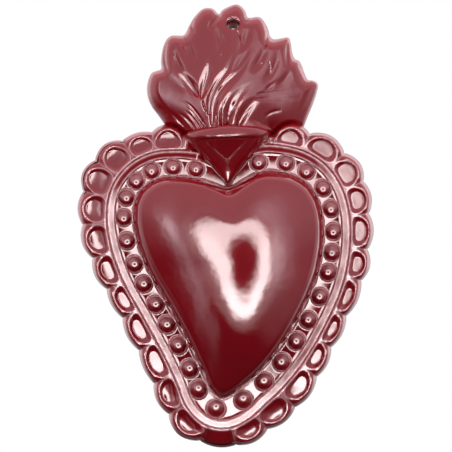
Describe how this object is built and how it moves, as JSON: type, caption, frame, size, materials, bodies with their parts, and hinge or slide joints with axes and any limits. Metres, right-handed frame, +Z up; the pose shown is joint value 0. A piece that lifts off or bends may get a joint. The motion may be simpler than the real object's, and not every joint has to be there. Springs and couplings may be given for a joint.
{
  "type": "ceramic sacred heart",
  "caption": "Votive wall heart in glazed ceramic with a flame crown, a string of beads and a petal border, hung on a nail through the flames.",
  "frame": {"origin": "where the axis of the nail hole meets the wall plane, at the back of the flames", "axes": "+X to the right of someone facing the heart, +Z up, +Y into the wall, so that the heart's front faces -Y"},
  "size_m": [0.1479, 0.039, 0.2213],
  "materials": {
    "back_plate": "glossy transparent wine-red glaze over pale clay, darker where it pools",
    "heart_dome": "glossy transparent wine-red glaze over pale clay, darker where it pools",
    "flame_crown": "glossy transparent wine-red glaze over pale clay, darker where it pools",
    "collar": "glossy transparent wine-red glaze over pale clay, darker where it pools",
    "border_band": "glossy transparent wine-red glaze over pale clay, darker where it pools",
    "toe_lip": "glossy transparent wine-red glaze over pale clay, darker where it pools",
    "beads": "glossy transparent wine-red glaze over pale clay, darker where it pools",
    "petals": "glossy transparent wine-red glaze over pale clay, darker where it pools"
  },
  "bodies": {
    "root": {"back_plate": "back_plate", "heart_dome": "heart_dome", "flame_crown": "flame_crown", "collar": "collar", "border_band": "border_band", "toe_lip": "toe_lip", "bead_01": "beads", "bead_02": "beads", "bead_03": "beads", "bead_04": "beads", "bead_05": "beads", "bead_06": "beads", "bead_07": "beads", "bead_08": "beads", "bead_09": "beads", "bead_10": "beads", "bead_11": "beads", "bead_12": "beads", "bead_13": "beads", "bead_14": "beads", "bead_15": "beads", "bead_16": "beads", "bead_17": "beads", "bead_18": "beads", "bead_19": "beads", "bead_20": "beads", "bead_21": "beads", "bead_22": "beads", "bead_23": "beads", "bead_24": "beads", "bead_25": "beads", "bead_26": "beads", "bead_27": "beads", "bead_28": "beads", "bead_29": "beads", "petal_01": "petals", "petal_02": "petals", "petal_03": "petals", "petal_04": "petals", "petal_05": "petals", "petal_06": "petals", "petal_07": "petals", "petal_08": "petals", "petal_09": "petals", "petal_10": "petals", "petal_11": "petals", "petal_12": "petals", "petal_13": "petals", "petal_14": "petals", "petal_15": "petals", "petal_16": "petals", "petal_17": "petals", "petal_18": "petals", "petal_19": "petals", "petal_20": "petals", "petal_21": "petals", "petal_22": "petals", "petal_23": "petals", "petal_24": "petals"}
  },
  "joints": []
}
